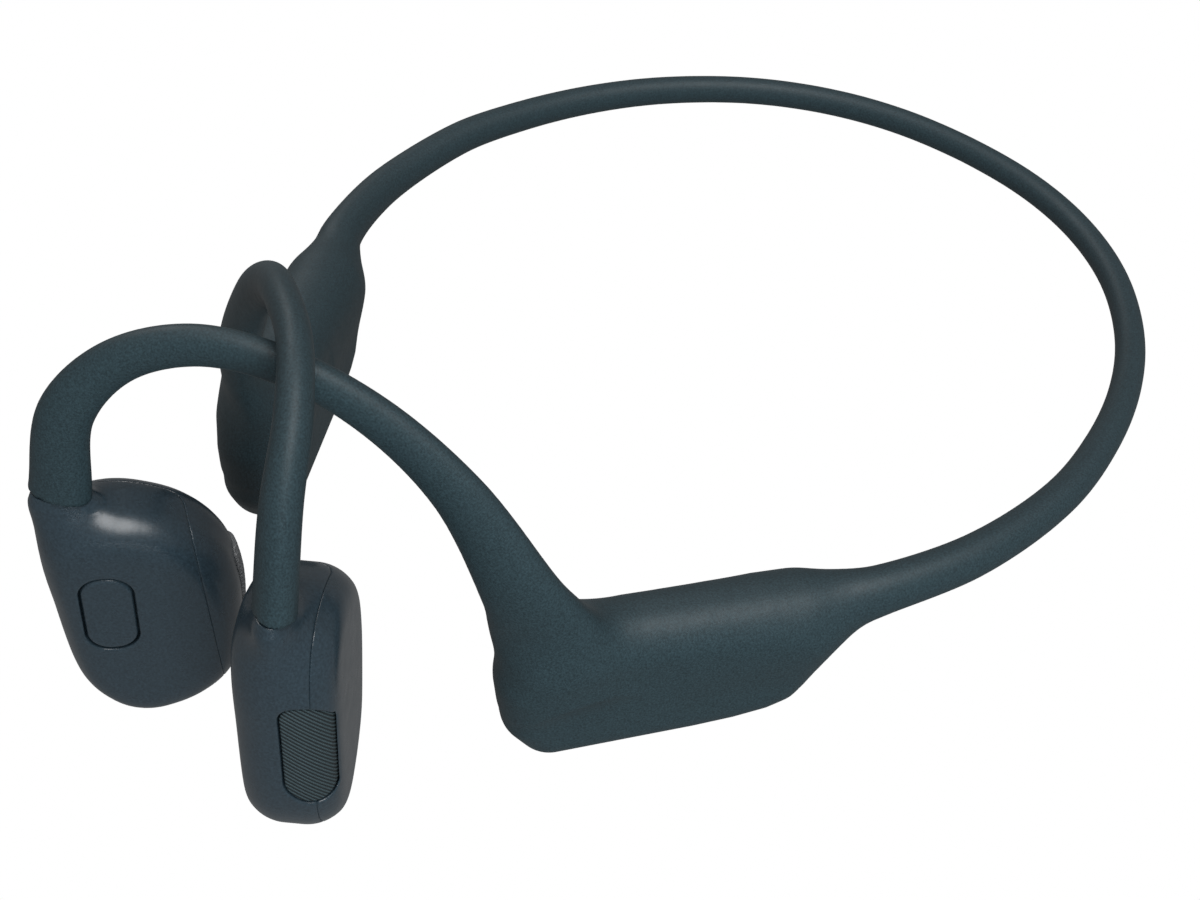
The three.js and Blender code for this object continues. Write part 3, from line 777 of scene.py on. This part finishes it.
def twill(look, pitch):
    """Diagonal ridges broken by fine threads: the height of a twill weave."""
    ridges = wave(look, (0.0, 1.5, 1.0), pitch)
    threads = wave(look, (0.0, 1.0, -1.1), pitch * 0.8)
    mix = look.node("ShaderNodeMath", operation="MULTIPLY")
    look.link(ridges, mix.inputs[0])
    look.link(threads, mix.inputs[1])
    total = look.node("ShaderNodeMath", operation="MULTIPLY_ADD")
    look.link(mix.outputs[0], total.inputs[0])
    total.inputs[1].default_value = 0.4
    look.link(ridges, total.inputs[2])
    return total.outputs[0]


def wave(look, direction, pitch):
    """Sine bands across a direction in object space, from 0 to 1, one per pitch in millimetres."""
    dot = look.node("ShaderNodeVectorMath", operation="DOT_PRODUCT")
    unit = Vector(direction).normalized() * (2 * math.pi / (pitch * MM))
    dot.inputs[1].default_value = unit
    look.link(look.place, dot.inputs[0])
    sine = look.node("ShaderNodeMath", operation="SINE")
    look.link(dot.outputs["Value"], sine.inputs[0])
    half = look.node("ShaderNodeMath", operation="MULTIPLY_ADD")
    half.inputs[1].default_value = 0.5
    half.inputs[2].default_value = 0.5
    look.link(sine.outputs[0], half.inputs[0])
    return half.outputs[0]


@cached
def grille_plastic():
    look = Look("grille_plastic", GRILLE_COLOUR, 0.5)
    look.vary_colour(look.noise(3000), 0.15)
    return look.material


@cached
def light_table():
    """Plain white all over, so that the object stands out with no shadow."""
    look = Look("light_table", (0, 0, 0), 1)
    look.shader.inputs["Specular IOR Level"].default_value = 0
    look.shader.inputs["Emission Color"].default_value = (1, 1, 1, 1)
    look.shader.inputs["Emission Strength"].default_value = 1
    return look.material


@cached
def plain_material(name, colour, roughness, metallic=0.0):
    look = Look(name, colour, roughness, metallic)
    look.vary_colour(look.noise(1500), 0.06)
    return look.material


def give(piece, material):
    piece.data.materials.clear()
    piece.data.materials.append(material)


def finish_inner_nodes(frame):
    for subpart in frame["record"]["subparts"]:
        look = INNER_LOOKS.get(subpart["material_slot"])
        if look:
            give(frame["nodes"][subpart["node"]], plain_material(subpart["material_slot"], *look))


# --- Scene ------------------------------------------------------------------------------------------

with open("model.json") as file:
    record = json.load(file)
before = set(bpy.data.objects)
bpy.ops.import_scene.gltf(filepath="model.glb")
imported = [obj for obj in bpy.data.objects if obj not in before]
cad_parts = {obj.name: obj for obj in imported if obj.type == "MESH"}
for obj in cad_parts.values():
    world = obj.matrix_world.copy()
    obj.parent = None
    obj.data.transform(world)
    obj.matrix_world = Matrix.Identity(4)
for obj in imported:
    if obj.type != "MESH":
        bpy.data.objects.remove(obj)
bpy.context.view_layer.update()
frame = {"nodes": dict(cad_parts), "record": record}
make_camera()
make_studio()
for arm_side in ("left", "right"):
    make_arm_skin(arm_side)
    make_transducer(arm_side)
make_volume_buttons()
finish_inner_nodes(frame)
